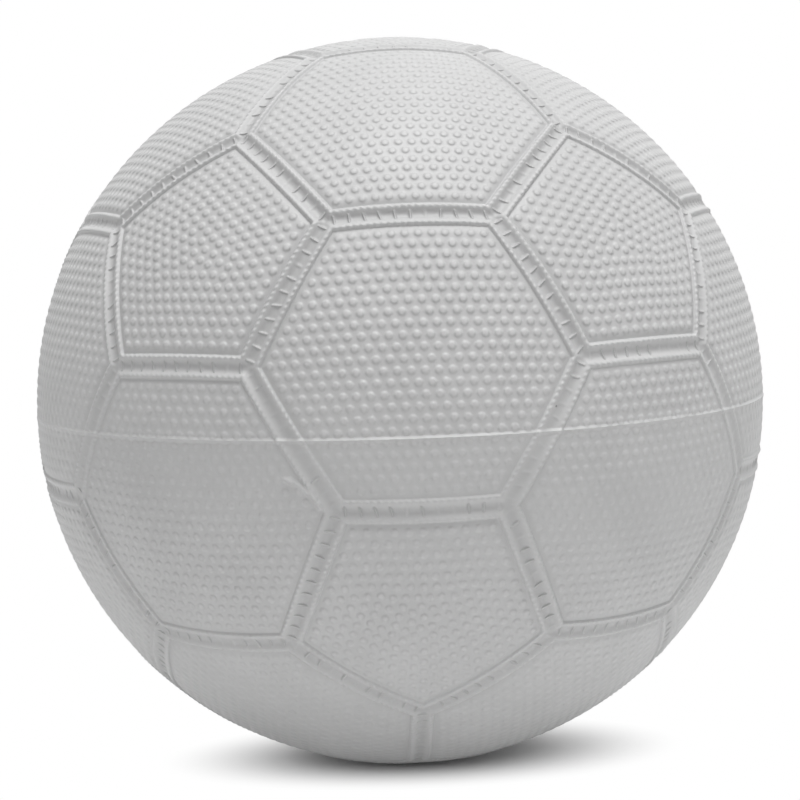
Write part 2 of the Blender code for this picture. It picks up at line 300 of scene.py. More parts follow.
def seam_relief(panel, side, point):
    """Height of lips, valley and crease as the rubber filled them, with stitches and nibs on them."""
    from_seam, lateral = seam_place(panel, side, point)
    filled = fill_of_mould(point, SEAM_PARTING_LOSS)
    height = np.interp(from_seam, SEAM_DISTANCE, SEAM_HEIGHT) * filled

    which, facing = nearest_stitch(panel, side, lateral)
    beside = way_to_stitch(panel, side, from_seam, lateral, which, facing)
    stitch = soft_bump(beside, STITCH_HALF_WIDTH) * np.sqrt(soft_bump(from_seam, STITCH_HALF_LENGTH))
    height += (STITCH_HEIGHT * stitch * stitch_strength[side_seam[panel, side], which]
               * left_by_leak(point, SEAM_PARTING_LOSS))

    beat = 0.5 + 0.5 * np.cos(2 * np.pi * (lateral + NIB_SLANT * (from_seam - NIB_OFFSET)) / NIB_PITCH)
    uneven = NIB_MEAN + NIB_CHANGE * slow_waves(point, NIB_WAVELENGTH, NIB_SEED)
    height += NIB_HEIGHT * beat * uneven * soft_bump(from_seam - NIB_OFFSET, NIB_REACH)
    return height


print("seam", round(float(SEAM_DISTANCE[-1] * 2000), 1), "mm wide,", STITCHES, "stitches a side")

# %% [markdown]
# ## Pimples
# The pimples stand in rows round each panel's middle. On a six-sided panel each row outwards has one more
# to a side, and on a five-sided panel the counts are uneven near the middle. The nearest pimple to a point
# is looked for in the row before it and the row after it. Each is a low round cap with a crisp foot.

# %% Pimple rows
SPOTS = np.array([[0, 1, 3, 4, 6, 7, 8, 9, 10, 10, 10, 10], list(range(12))])
FIRST_RING, FIRST_RING_RADIUS = 7, 0.0031
PIMPLE_HEIGHT, PIMPLE_RADIUS = 0.00037, 0.00112
PIMPLE_ROUNDING = 0.75
PIMPLE_UNEVEN = 0.25
OUTER_ROW_STRENGTH = 0.7
BARE_VALVE_ROWS = 5
HASH_DIRECTION, HASH_SPREAD = np.array([127.1, 311.7, 74.7]), 999.0
AT_POLE = 0.99


def on_first_ring(panel, point):
    """Directions of the nearest pimple on the round first ring of a five-sided panel."""
    out, along = side_out[panel, 0], side_along[panel, 0]
    turn = np.arctan2(row_dot(point, along), row_dot(point, out))
    turn = np.round(turn * FIRST_RING / math.tau) * math.tau / FIRST_RING
    angle = FIRST_RING_RADIUS / PANEL_RADIUS
    sideways = np.cos(turn)[:, None] * out + np.sin(turn)[:, None] * along
    return math.cos(angle) * panel_axis[panel] + math.sin(angle) * sideways


def nearest_pimple(panel, side, ring, share, point):
    """Direction of the nearest pimple, the distance to it and its strength."""
    six = (panel_sides[panel] == 6).astype(int)
    spacing = np.array([ROW_SPACING[5], ROW_SPACING[6]])[six]
    last = np.array([PIMPLE_ROWS[5], PIMPLE_ROWS[6]])[six]
    first = np.where(panel_axis[panel][:, 2] > AT_POLE, BARE_VALVE_ROWS, 0)
    row = angle_at(panel, ring) * PANEL_RADIUS / spacing
    top, nearest, strength = np.zeros(point.shape), np.full(len(ring), 1.0), np.zeros(len(ring))
    for step in (0, 1):
        near_row = np.minimum(np.floor(row) + step, last).astype(int)
        spots = SPOTS[six, near_row]
        spot = np.clip(np.round((share * row / np.maximum(near_row, 1) + 1) / 2 * spots), 0, spots)
        place = on_ball(panel, side, near_row * spacing / PANEL_RADIUS, 2 * spot / np.maximum(spots, 1) - 1)
        inner = (six == 0) & (near_row == 1)
        place[inner] = on_first_ring(panel[inner], point[inner])
        distance = np.linalg.norm(point - place, axis=1) * PANEL_RADIUS
        closer = distance < nearest
        top[closer], nearest[closer] = place[closer], distance[closer]
        weak = np.where((six == 1) & (near_row == last), OUTER_ROW_STRENGTH, 1.0) * (near_row >= first)
        strength[closer] = weak[closer]
    return top, nearest, strength


def pimple_relief(top, distance, strength):
    """Height of the pimple at that distance from its middle."""
    chance = np.modf(np.abs(np.sin(top @ HASH_DIRECTION)) * HASH_SPREAD)[0]
    cap = (1 - np.clip(distance / PIMPLE_RADIUS, 0, 1) ** 2) ** PIMPLE_ROUNDING
    return PIMPLE_HEIGHT * cap * strength * (1 - PIMPLE_UNEVEN * chance)


on_a_panel = {5: 1 + FIRST_RING + 5 * int(SPOTS[0][2:PIMPLE_ROWS[5] + 1].sum()),
              6: 1 + 6 * int(SPOTS[1].sum())}
print("pimples on a panel", on_a_panel, "on the ball", 12 * on_a_panel[5] + 20 * on_a_panel[6])

# %% [markdown]
# ## Maps for the finish
# The grid is a little coarse for a crisp pimple or stitch, so each face also keeps two small maps: the way to
# its corners from the nearest pimple, counted in pimple radii, and from the nearest stitch, counted in the
# stitch's half width and half length. The rubber's finish reads them and sharpens the shading.

# %% Maps of the nearest pimple and stitch
PIMPLE_MAP, STITCH_MAP = "pimple", "stitch"
FAR_AWAY = 9.0
FAINT_STITCH = 0.55


def map_pimples(mesh, face, corner, panel, side, nearest):
    """Give the faces their way to the nearest pimple as a UV map."""
    top, _, strength = nearest
    across = side_along[panel, side]
    across = across - row_dot(across, top)[:, None] * top
    across /= np.maximum(np.linalg.norm(across, axis=1), TINY)[:, None]
    upward = np.cross(top, across)
    way = (corner - top[face]) * PANEL_RADIUS / PIMPLE_RADIUS
    chart = np.stack([row_dot(way, arm[face]) for arm in (across, upward)], axis=1)
    chart[strength[face] == 0] = FAR_AWAY
    mesh.uv_layers.new(name=PIMPLE_MAP).uv.foreach_set("vector", chart.ravel())


def map_stitches(mesh, face, corner, panel, side, place):
    """Give the faces their way to the nearest stitch as a UV map."""
    which, facing = nearest_stitch(panel, side, seam_place(panel, side, place)[1])
    strength = stitch_strength[side_seam[panel, side], which] * left_by_leak(place, SEAM_PARTING_LOSS)
    faint = strength < FAINT_STITCH
    from_seam, lateral = seam_place(panel[face], side[face], corner)
    beside = way_to_stitch(panel[face], side[face], from_seam, lateral, which[face], facing[face])
    chart = np.stack([beside / STITCH_HALF_WIDTH, from_seam / STITCH_HALF_LENGTH], axis=1)
    chart[faint[face]] = FAR_AWAY
    mesh.uv_layers.new(name=STITCH_MAP).uv.foreach_set("vector", chart.ravel())


def map_relief(mesh, flat, point):
    """Both maps of a piece; flat and point are its corners on the panel body and on the ball."""
    corners = np.zeros(len(mesh.loops), int)
    mesh.loops.foreach_get("vertex_index", corners)
    counts = np.zeros(len(mesh.polygons), int)
    mesh.polygons.foreach_get("loop_total", counts)
    starts = np.concatenate([[0], np.cumsum(counts)[:-1]])
    panel, side, ring, share = grid_places(np.add.reduceat(flat[corners], starts) / counts[:, None])
    place = np.add.reduceat(point[corners], starts) / counts[:, None]
    face = np.repeat(np.arange(len(counts)), counts)
    nearest = nearest_pimple(panel, side, ring, share, place)
    map_pimples(mesh, face, point[corners], panel, side, nearest)
    map_stitches(mesh, face, point[corners], panel, side, place)


print("maps are called", PIMPLE_MAP, "and", STITCH_MAP)

# %% [markdown]
# ## Flow mark
# Below the parting line one short curved ridge shows where two flows of rubber met. It is a soft bump
# along a bent line, given by the directions of a few points on it.

# %% Flow mark
FLOW_MARK = np.radians([(-19.0, -5.3), (-18.1, -5.6), (-17.1, -6.1), (-16.2, -6.8), (-15.4, -7.6),
                        (-14.8, -8.5), (-14.3, -9.4)])
FLOW_HEIGHT, FLOW_HALF_WIDTH = 0.00095, 0.0008


def towards(azimuth, elevation):
    """Direction on the ball; azimuth is counted from the camera's side, to the right."""
    return np.array([math.sin(azimuth) * math.cos(elevation), -math.cos(azimuth) * math.cos(elevation),
                     math.sin(elevation)])


def flow_relief(point):
    """Height of the flow mark."""
    line = np.array([towards(*place) for place in FLOW_MARK])
    nearest = np.full(len(point), 1.0)
    for start, end in zip(line, line[1:]):
        span = end - start
        share = np.clip((point - start) @ span / (span @ span), 0, 1)
        nearest = np.minimum(nearest, np.linalg.norm(point - start - share[:, None] * span, axis=1))
    return FLOW_HEIGHT * soft_bump(nearest * PANEL_RADIUS, FLOW_HALF_WIDTH)


print("flow mark of", len(FLOW_MARK), "points")

# %% [markdown]
# ## Valve hole
# The valve comes out in the middle of the top panel. There the grid's rings are bent from the panel's five
# sides into circles, the inner rings are left out for the hole, and a smooth collar without pimples stays
# round it.

# %% Valve hole
HOLE_RADIUS = 0.0055
HOLE_RING = round(HOLE_RADIUS / ROW_SPACING[5] * RINGS_PER_ROW[5])
COLLAR_START, COLLAR_END = 0.0088, 0.0110
BEND_START, BEND_END = 0.0066, 0.0121
COLLAR_RISE = 0.00030
LIP_ROUNDING, LIP_REACH = 0.00045, 0.0010


def round_the_hole(point, ring):
    """Bend the rings next to the valve into circles."""
    radius = ring / HOLE_RING * HOLE_RADIUS
    bend = 1 - smooth_step(radius, BEND_START, BEND_END)
    sunk = np.arccos(np.clip(point[:, 2], -1, 1))
    sunk = bend * radius / PANEL_RADIUS + (1 - bend) * sunk
    turn = np.arctan2(point[:, 1], point[:, 0])
    return np.stack([np.sin(sunk) * np.cos(turn), np.sin(sunk) * np.sin(turn), np.cos(sunk)], axis=1)


def collar_relief(point, height):
    """Smooth raised collar with a rounded edge at the hole."""
    radius = np.arccos(np.clip(point[:, 2], -1, 1)) * PANEL_RADIUS
    collar = COLLAR_RISE * (1 - smooth_step(radius, COLLAR_START, COLLAR_END))
    return height + collar - LIP_ROUNDING * soft_bump(radius - HOLE_RADIUS, LIP_REACH)


print("valve hole starts at ring", HOLE_RING)

# %% [markdown]
# ## One piece of the cover
# The cover is made in six pieces for each half, a pole panel and five sectors round it, so that no piece
# is too heavy. The borders run along the seams and the parting line. A piece is cut out of the panel body,
# gridded, pushed out onto the ball with its relief, and trimmed at the parting plane.

# %% Cut a piece out of the panel body
SECTORS = 5
POLE = SECTORS
HALF_SECTOR = 180 / SECTORS
FRONT_AZIMUTH = -90
PLANE_MARGIN = 1e-4


def piece_of_panel(panel):
    """Which piece of a half a panel belongs to."""
    if abs(panel_axis[panel][2]) > AT_POLE:
        return POLE
    azimuth = math.degrees(math.atan2(panel_axis[panel][1], panel_axis[panel][0]))
    return round((azimuth - FRONT_AZIMUTH) / HALF_SECTOR) % (2 * SECTORS) // 2


def gridded_piece(number, upper):
    """The piece's triangles of the panel body, cut into the grid."""
    shape = panel_body()
    bmesh.ops.poke(shape, faces=shape.faces[:])
    spare = []
    for face in shape.faces:
        middle = np.array(face.calc_center_median())
        panel = int(np.argmax(panel_middle @ middle / panel_level ** 2))
        heights = [corner.co.z for corner in face.verts]
        inside = max(heights) > PLANE_MARGIN if upper else min(heights) < -PLANE_MARGIN
        if piece_of_panel(panel) != number or not inside:
            spare.append(face)
    bmesh.ops.delete(shape, geom=spare, context="FACES")
    bmesh.ops.subdivide_edges(shape, edges=shape.edges[:], cuts=RINGS - 1, use_grid_fill=True)
    return shape


def corners_of(mesh):
    """All vertex places of a mesh."""
    places = np.zeros(len(mesh.vertices) * 3)
    mesh.vertices.foreach_get("co", places)
    return places.reshape(-1, 3)


def set_corners(mesh, places):
    """Put a mesh's corners at places counted from the ball's centre, and none below the floor."""
    places[:, 2] = np.maximum(places[:, 2] + CENTRE.z, 0.0)
    mesh.vertices.foreach_set("co", places.ravel())


print("pieces of a half:", sorted({piece_of_panel(panel) for panel in range(len(panel_sides))}))

# %% [markdown]
# The parting line carries the flash, a thin pale ridge where rubber crept between the two mould halves.
# Both halves rise to it, the upper one more steeply. A few cuts along the plane give the ridge the points
# it needs.

# %% Trim a piece at the parting line
FLASH_RISE, FLASH_WIDTH, FLASH_UNDERSIDE = 0.00060, 0.00060, 0.0009
FLASH_CHANGE, FLASH_WAVES = 0.15, (37, 11)
FLASH_CUTS = (0.0012, 0.0009, 0.0006, 0.0003)
CUT_SNAP = 2e-6
NEAR_PLANE = 0.002


def trim_at_parting(shape, upper):
    """Cut the half off at the parting plane, with extra rows of points beside it."""
    way = 1 if upper else -1
    bmesh.ops.bisect_plane(shape, geom=shape.verts[:] + shape.edges[:] + shape.faces[:], dist=CUT_SNAP,
                           plane_co=(0, 0, 0), plane_no=(0, 0, way), clear_inner=True)
    for level in FLASH_CUTS:
        near = {face for corner in shape.verts if abs(corner.co.z) < NEAR_PLANE for face in corner.link_faces}
        parts = {part for face in near for part in (*face.verts, *face.edges)}
        bmesh.ops.bisect_plane(shape, geom=list(parts) + list(near), dist=CUT_SNAP,
                               plane_co=(0, 0, way * level), plane_no=(0, 0, way))


def raise_flash(shape, upper):
    """Lift the ridge at the rim, steep above and gentle below."""
    for corner in shape.verts:
        level = abs(corner.co.z)
        if level < NEAR_PLANE:
            turn = math.atan2(corner.co.y, corner.co.x)
            waves = math.sin(FLASH_WAVES[0] * turn) * math.sin(FLASH_WAVES[1] * turn + 1)
            uneven = 1 - FLASH_CHANGE + FLASH_CHANGE * waves
            rise = FLASH_RISE * uneven * max(1 - level / (FLASH_WIDTH if upper else FLASH_UNDERSIDE), 0)
            corner.co += corner.co.normalized() * rise


print("flash", FLASH_RISE * 1000, "mm high")

# %% [markdown]
# The skin alone would be a sheet, so it gets the cover's thickness: its borders are drawn inwards as a
# wall, and a plain lining of a few rings closes the inside. Only the outside carries the fine grid.

# %% Give a piece its thickness
LINING_RINGS = 6
LINING_RADIUS = PANEL_RADIUS - COVER_WALL


def drawn_out(shape, edges):
    """Extrude border edges and return the new border edges and points."""
    made = bmesh.ops.extrude_edge_only(shape, edges=edges)["geom"]
    loop = [part for part in made if isinstance(part, bmesh.types.BMEdge) and part.is_boundary]
    return loop, [part for part in made if isinstance(part, bmesh.types.BMVert)]


def close_lining(shape, valve):
    """Walls along the borders and a lining, so that the piece is one closed body."""
    border = [edge for edge in shape.edges if edge.is_boundary]
    middle = sum((edge.verts[0].co for edge in border), Vector()).normalized() * LINING_RADIUS
    for edge in border:
        edge.smooth = False
    rim = [edge for edge in border if valve and edge.verts[0].co.xy.length < COLLAR_START]
    rest = [edge for edge in border if edge not in set(rim)]
    loop, corners = drawn_out(shape, rest)
    for corner in corners:
        corner.co = corner.co.normalized() * LINING_RADIUS
    for left in range(LINING_RINGS, 0, -1):
        loop, corners = drawn_out(shape, loop)
        for corner in corners:
            goal = middle
            if valve:
                out = corner.co.xy.normalized() * COLLAR_START
                goal = Vector((out.x, out.y, math.sqrt(LINING_RADIUS ** 2 - COLLAR_START ** 2)))
            corner.co = corner.co.lerp(goal, 1 / (left + (0 if valve else 1))).normalized() * LINING_RADIUS
    if valve:
        rim, corners = drawn_out(shape, rim)
        for corner in corners:
            corner.co.z = math.sqrt(LINING_RADIUS ** 2 - corner.co.xy.length_squared)
        bmesh.ops.bridge_loops(shape, edges=loop + rim)
    else:
        bmesh.ops.holes_fill(shape, edges=loop, sides=len(loop))
        widest = max(shape.faces, key=lambda face: len(face.verts))
        bmesh.ops.poke(shape, faces=[widest])
    bmesh.ops.recalc_face_normals(shape, faces=shape.faces[:])


print("cover", round(COVER_WALL * 1000, 1), "mm thick")

# %% [markdown]
# A moulded ball has a smooth outline, although its relief shades strongly under a lamp. So the relief is
# pressed flatter at the end, crests more than hollows, and the faces keep the normals that they had before.

# %% Press the relief flatter
CREST_SHARE, HOLLOW_SHARE = 0.45, 0.65


def press_relief(mesh):
    """Lower the crests, raise the hollows, and keep their shading."""
    normals = np.zeros(len(mesh.loops) * 3)
    mesh.corner_normals.foreach_get("vector", normals)
    places = corners_of(mesh) - np.array(CENTRE)
    radius = np.linalg.norm(places, axis=1)
    height = radius - PANEL_RADIUS
    outside = height > -COVER_WALL / 2
    pressed = np.where(height > 0, 1 - CREST_SHARE, 1 - HOLLOW_SHARE) * height * outside
    set_corners(mesh, places * (1 - pressed / radius)[:, None])
    mesh.update()
    mesh.normals_split_custom_set(normals.reshape(-1, 3))


print("crests keep", CREST_SHARE, "and hollows", HOLLOW_SHARE, "of their height")

# %% [markdown]
# Now the pieces are made one after the other and stand in for the two CAD cover halves.

# %% Make the cover
def cover_piece(number, upper):
    """One finished piece of the cover."""
    valve = upper and number == POLE
    name = ("cover_upper_" if upper else "cover_lower_") + ("pole" if number == POLE else str(number + 1))
    mesh = bpy.data.meshes.new(name)
    shape = gridded_piece(number, upper)
    shape.to_mesh(mesh)
    shape.free()

    flat = corners_of(mesh)
    panel, side, ring, share = grid_places(flat)
    point = on_ball(panel, side, angle_at(panel, ring), share)
    height = pimple_relief(*nearest_pimple(panel, side, ring, share, point))
    height = height * fill_of_mould(point, PIMPLE_PARTING_LOSS) + seam_relief(panel, side, point)
    map_relief(mesh, flat, point)
    if valve:
        point = round_the_hole(point, ring)
        height = collar_relief(point, height)
    height += flow_relief(point)
    mesh.vertices.foreach_set("co", (point * (PANEL_RADIUS + height)[:, None]).ravel())

    shape = bmesh.new()
    shape.from_mesh(mesh)
    if valve:
        shape.verts.ensure_lookup_table()
        bmesh.ops.delete(shape, geom=[shape.verts[i] for i in np.flatnonzero(ring < HOLE_RING)],
                         context="VERTS")
    if number != POLE:
        trim_at_parting(shape, upper)
        raise_flash(shape, upper)
    close_lining(shape, valve)
    shape.to_mesh(mesh)
    shape.free()
    set_corners(mesh, corners_of(mesh))
    mesh.polygons.foreach_set("use_smooth", np.ones(len(mesh.polygons), bool))
    mesh.update()
    press_relief(mesh)
    piece = put_in_scene(name, mesh)
    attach(piece, "ball")
    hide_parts("cover_upper_half" if upper else "cover_lower_half")
    return piece


cover = [cover_piece(number, upper) for upper in (True, False) for number in range(SECTORS + 1)]
for piece in cover:
    piece.data.calc_loop_triangles()
triangles = [len(piece.data.loop_triangles) for piece in cover]
print("cover", len(cover), "pieces,", sum(triangles), "triangles, at most", max(triangles))

# %% [markdown]
# ## Valve outlines
# A rubber bush sits in the cover's valve hole, and a soft core with a needle funnel is pushed into it. Both
# are turned shapes, so each is drawn as half an outline: the way out from the axis, and the height above
# the ball's centre. The outlines keep the CAD's fits, so the core still slides in the bush.

# %% Valve outlines
VALVE_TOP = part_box("valve_seat")[1].z - CENTRE.z
BUSH_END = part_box("valve_seat")[0].z - CENTRE.z
NECK_RADIUS, BODY_RADIUS, FLANGE_RADIUS = 0.0052, 0.0048, 0.0115
FLANGE_TOP, FLANGE_UNDER, FLANGE_MIDDLE = 0.08750, 0.08632, 0.00805
SEAT_RADIUS, BORE_RADIUS, SEAT_DEPTH = 0.0039, 0.0029, 0.0015
HEAD_RADIUS, HEAD_THICKNESS, STEM_RADIUS, CORE_LENGTH = 0.0036, 0.0012, 0.0026, 0.0120
TIP_RADIUS, TIP_TAPER = 0.0020, 0.0006
FUNNEL_RADIUS, FUNNEL_DEPTH, NEEDLE_HOLE, NEEDLE_HOLE_DEPTH = 0.0014, 0.0020, 0.0004, 0.0034
RING_IN, RING_OUT, RING_RISE = 0.0018, 0.0024, 0.00018


def on_arc(radius, reach):
    """A point of an outline on a circle about the ball's centre."""
    return reach, math.sqrt(radius ** 2 - reach ** 2)


bush_outline = [
    (NECK_RADIUS, VALVE_TOP), on_arc(FLANGE_TOP, NECK_RADIUS), on_arc(FLANGE_TOP, FLANGE_MIDDLE),
    on_arc(FLANGE_TOP, FLANGE_RADIUS), on_arc(FLANGE_UNDER, FLANGE_RADIUS),
    on_arc(FLANGE_UNDER, FLANGE_MIDDLE), on_arc(FLANGE_UNDER, BODY_RADIUS), (BODY_RADIUS, BUSH_END),
    (BORE_RADIUS, BUSH_END), (BORE_RADIUS, VALVE_TOP - SEAT_DEPTH), (SEAT_RADIUS, VALVE_TOP - SEAT_DEPTH),
    (SEAT_RADIUS, VALVE_TOP)]
core_steps = [
    (0, -NEEDLE_HOLE_DEPTH), (NEEDLE_HOLE, -NEEDLE_HOLE_DEPTH), (NEEDLE_HOLE, -FUNNEL_DEPTH),
    (FUNNEL_RADIUS, 0), (RING_IN, 0), (RING_IN, RING_RISE), (RING_OUT, RING_RISE), (RING_OUT, 0),
    (HEAD_RADIUS, 0), (HEAD_RADIUS, -HEAD_THICKNESS), (STEM_RADIUS, -HEAD_THICKNESS),
    (STEM_RADIUS, TIP_TAPER - CORE_LENGTH), (TIP_RADIUS, -CORE_LENGTH), (0, -CORE_LENGTH)]
core_outline = [(reach, VALVE_TOP + step) for reach, step in core_steps]
print("valve top", round((VALVE_TOP + CENTRE.z) * 1000, 2), "mm above the floor")

# %% [markdown]
# ## Turn the valve
# Spin carries an outline once round the upright axis and merges the last copy with the first. Moulded rubber
# has no sharp edges, so every edge that turns a corner is bevelled round afterwards.

# %% Turn the valve's pieces
TURN_STEPS = 72
EDGE_ROUNDING, ROUNDING_STEPS = 0.00008, 3
MERGE_DISTANCE = 1e-6
CORNER_ANGLE = math.radians(24)


def turned(name, outline, body_name, node):
    """Spin an outline round the upright axis and round its edges."""
    shape = bmesh.new()
    corners = [shape.verts.new((reach, 0, height + CENTRE.z)) for reach, height in outline]
    ends = corners[1:] + corners[:1] if outline[0][0] else corners[1:]
    edges = [shape.edges.new(pair) for pair in zip(corners, ends)]
    bmesh.ops.spin(shape, geom=corners + edges, cent=(0, 0, 0), axis=(0, 0, 1), angle=math.tau,
                   steps=TURN_STEPS, use_merge=True)
    bmesh.ops.remove_doubles(shape, verts=shape.verts[:], dist=MERGE_DISTANCE)
    bmesh.ops.recalc_face_normals(shape, faces=shape.faces[:])
    sharp = [edge for edge in shape.edges if edge.is_manifold and edge.calc_face_angle() > CORNER_ANGLE]
    bmesh.ops.bevel(shape, geom=sharp, offset=EDGE_ROUNDING, offset_type="OFFSET", segments=ROUNDING_STEPS,
                    profile=0.5, material=-1, affect="EDGES", clamp_overlap=True)
    for face in shape.faces:
        face.smooth = True
    print(name, len(shape.faces), "faces, open edges", sum(not edge.is_manifold for edge in shape.edges))
    mesh = bpy.data.meshes.new(name)
    shape.to_mesh(mesh)
    shape.free()
    piece = put_in_scene(name, mesh)
    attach(piece, body_name)
    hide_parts(node)
    return piece


bush = turned("valve_bush", bush_outline, "ball", "valve_seat")
core = turned("valve_core_plug", core_outline, "valve_core", "valve_plug")

# %% [markdown]
# ## Nodes for the finishes
# Every finish here is a small net of nodes. One helper makes a node with its settings and values, another
# joins nodes, and a third starts a material. The others make a node that recurs, already joined to what it
# reads: a blend of two colours, a range, a product or a bump. What is the same all over goes straight on the
# shader.

# %% Node helpers
def add_node(tree, kind, values=None, **settings):
    """A new node with its settings and its input values."""
    made = tree.nodes.new("ShaderNode" + kind)
    for name, value in settings.items():
        setattr(made, name, value)
    for name, value in (values or {}).items():
        made.inputs[name].default_value = value
    return made


def wire(tree, *links):
    """Join nodes; a link names a node and its output, and a node and its input."""
    for start, output, end, entry in links:
        tree.links.new(start.outputs[output], end.inputs[entry])


def start_material(name):
    """A new material, its node tree and its shader."""
    made = bpy.data.materials.new(name)
    made.use_nodes = True
    return made, made.node_tree, made.node_tree.nodes["Principled BSDF"]


def blend_colour(tree, node, output, first, second):
    """A mix from the first colour to the second by a node's output; its colour is output 2."""
    made = add_node(tree, "Mix", {6: (*first, 1), 7: (*second, 1)}, data_type="RGBA")
    wire(tree, (node, output, made, 0))
    return made


def add_range(tree, node, output, start, end, low=0.0, high=1.0, ease="LINEAR"):
    """A node that brings a node's output from the range start to end into the range low to high."""
    made = add_node(tree, "MapRange", {"From Min": start, "From Max": end, "To Min": low, "To Max": high},
                    interpolation_type=ease)
    wire(tree, (node, output, made, "Value"))
    return made


def multiply(tree, first, second):
    """A node that multiplies the first outputs of two nodes."""
    made = add_node(tree, "Math", operation="MULTIPLY")
    wire(tree, (first, 0, made, 0), (second, 0, made, 1))
    return made


def add_bump(tree, node, output, depth, goal):
    """A bump as high as a node's output says, joined to the normal of its goal."""
    made = add_node(tree, "Bump", {"Distance": depth})
    wire(tree, (node, output, made, "Height"), (made, "Normal", goal, "Normal"))
    return made


print("node helpers ready")

# %% [markdown]
# ## Rubber skin
# All the rubber parts have the same kind of skin: a fine moulded grain, and a slow change of tone where the
# compound wasn't quite even. One node group gives both, and each rubber uses it with its own fineness.

# %% Rubber skin group
DRIFT_SHARE = 0.025
rubber_skin = bpy.data.node_groups.new("rubber_skin", "ShaderNodeTree")
for label, way, kind in (("Position", "INPUT", "Vector"), ("Fineness", "INPUT", "Float"),
                         ("Grain", "OUTPUT", "Float"), ("Drift", "OUTPUT", "Float")):
    rubber_skin.interface.new_socket(label, in_out=way, socket_type="NodeSocket" + kind)
given = rubber_skin.nodes.new("NodeGroupInput")
handed = rubber_skin.nodes.new("NodeGroupOutput")
fine = add_node(rubber_skin, "TexNoise", {"Detail": 2.0, "Roughness": 0.6})
coarser = add_node(rubber_skin, "Math", {1: DRIFT_SHARE}, operation="MULTIPLY")
slow = add_node(rubber_skin, "TexNoise", {"Detail": 3.0, "Roughness": 0.55})
wire(rubber_skin, (given, "Position", fine, "Vector"), (given, "Position", slow, "Vector"),
     (given, "Fineness", fine, "Scale"), (given, "Fineness", coarser, 0), (coarser, 0, slow, "Scale"),
     (fine, "Fac", handed, "Grain"), (slow, "Fac", handed, "Drift"))
print("group", rubber_skin.name, "with", len(rubber_skin.nodes), "nodes")


def skin_of(tree, fineness):
    """Rubber skin on a piece's own place, and that place."""
    place = add_node(tree, "TexCoord")
    skin = add_node(tree, "Group", node_tree=rubber_skin)
    skin.inputs["Fineness"].default_value = fineness
    wire(tree, (place, "Object", skin, "Position"))
    return skin, place

# %% [markdown]
# ## Tone of the cover
# The cover is matt light grey rubber. Its tone follows the distance from the ball's centre: shade is painted
# into the hollows and light is painted onto the crests. The compound drifts slowly in tone, and a few dark
# specks are moulded in, one in some of the cells of a Voronoi texture.

# %% Cover rubber, tone
COVER_TONE = (0.62, 0.62, 0.62)
COVER_FINENESS = 2200.0
# Painted shade is full this far below the panel, and painted light is full this far above it.
SHADE_PAINT_DEPTH, LIGHT_PAINT_HEIGHT = 0.0007, 0.0004
HOLLOW = PANEL_RADIUS - SHADE_PAINT_DEPTH * HOLLOW_SHARE
CREST = PANEL_RADIUS + LIGHT_PAINT_HEIGHT * CREST_SHARE
PAINTED_SHADE_TONE, PAINTED_LIGHT_TONE = 0.87, 1.02
DRIFT_DARK, DRIFT_PALE = 0.97, 1.03
NOISE_LOW, NOISE_HIGH = 0.3, 0.7
SPECK_CELLS, SPECK_SIZE, SPECK_RARE, SPECK_LOSS = 95.0, 0.028, 0.90, 0.5
cover_rubber, tree, shader = start_material("cover_rubber")
skin, place = skin_of(tree, COVER_FINENESS)
from_centre = add_node(tree, "VectorMath", {1: CENTRE}, operation="SUBTRACT")
distance = add_node(tree, "VectorMath", operation="LENGTH")
# Painted shade darkens the hollows and painted light makes the crests paler.
painted_relief_light = add_range(tree, distance, "Value", HOLLOW, CREST, PAINTED_SHADE_TONE, PAINTED_LIGHT_TONE)
drift = add_range(tree, skin, "Drift", NOISE_LOW, NOISE_HIGH, DRIFT_DARK, DRIFT_PALE)
cells = add_node(tree, "TexVoronoi", {"Scale": SPECK_CELLS})
chance = add_node(tree, "SeparateColor")
small = add_node(tree, "Math", {1: SPECK_SIZE}, operation="LESS_THAN")
rare = add_node(tree, "Math", {1: SPECK_RARE}, operation="GREATER_THAN")
clean = add_node(tree, "Math", {1: -SPECK_LOSS, 2: 1.0}, operation="MULTIPLY_ADD")
tone = multiply(tree, multiply(tree, painted_relief_light, drift), clean)
colour = add_node(tree, "VectorMath", {0: COVER_TONE}, operation="SCALE")
wire(tree, (place, "Object", from_centre, 0), (from_centre, 0, distance, 0),
     (place, "Object", cells, "Vector"), (cells, "Distance", small, 0), (cells, "Color", chance, "Color"),
     (chance, "Red", rare, 0), (multiply(tree, small, rare), 0, clean, 0), (tone, 0, colour, "Scale"),
     (colour, "Vector", shader, "Base Color"))
print("cover tone from", round(COVER_TONE[0] * PAINTED_SHADE_TONE, 2), "to", round(COVER_TONE[0] * PAINTED_LIGHT_TONE, 2))

# %% [markdown]
# ## Gloss and fine relief of the cover
# The gloss follows the moulded grain. Three bumps add to the modelled relief: the map of pimples rounds each
# crown, more weakly near the parting line and below it, the map of stitches sharpens the stitches, and the
# grain roughens everything by a few hundredths of a millimetre.

# %% Cover rubber, gloss and relief
CROWN_FOOT, CROWN_TOP = 1.03, 0.45
CROWN_DEPTH, GRAIN_DEPTH, STITCH_DEPTH = 0.00014, 0.00003, 0.00022
LOWER_HALF_CROWNS, FULL_CROWN_HEIGHT = 0.75, 0.035
STITCH_FOOT, STITCH_TOP = 0.9, 0.1
STITCH_END, STITCH_FULL = 1.1, 0.7
SMOOTHEST, ROUGHEST = 0.46, 0.58
rough = add_range(tree, skin, "Grain", NOISE_LOW, NOISE_HIGH, SMOOTHEST, ROUGHEST)
way = add_node(tree, "UVMap", uv_map=PIMPLE_MAP)
out = add_node(tree, "VectorMath", operation="LENGTH")
crown = add_range(tree, out, "Value", CROWN_FOOT, CROWN_TOP, ease="SMOOTHSTEP")
height = add_node(tree, "SeparateXYZ")
half = add_range(tree, height, "Z", CENTRE.z, CENTRE.z + FULL_CROWN_HEIGHT, LOWER_HALF_CROWNS)
beside = add_node(tree, "UVMap", uv_map=STITCH_MAP)
sides = add_node(tree, "SeparateXYZ")
narrow = add_node(tree, "Math", operation="ABSOLUTE")
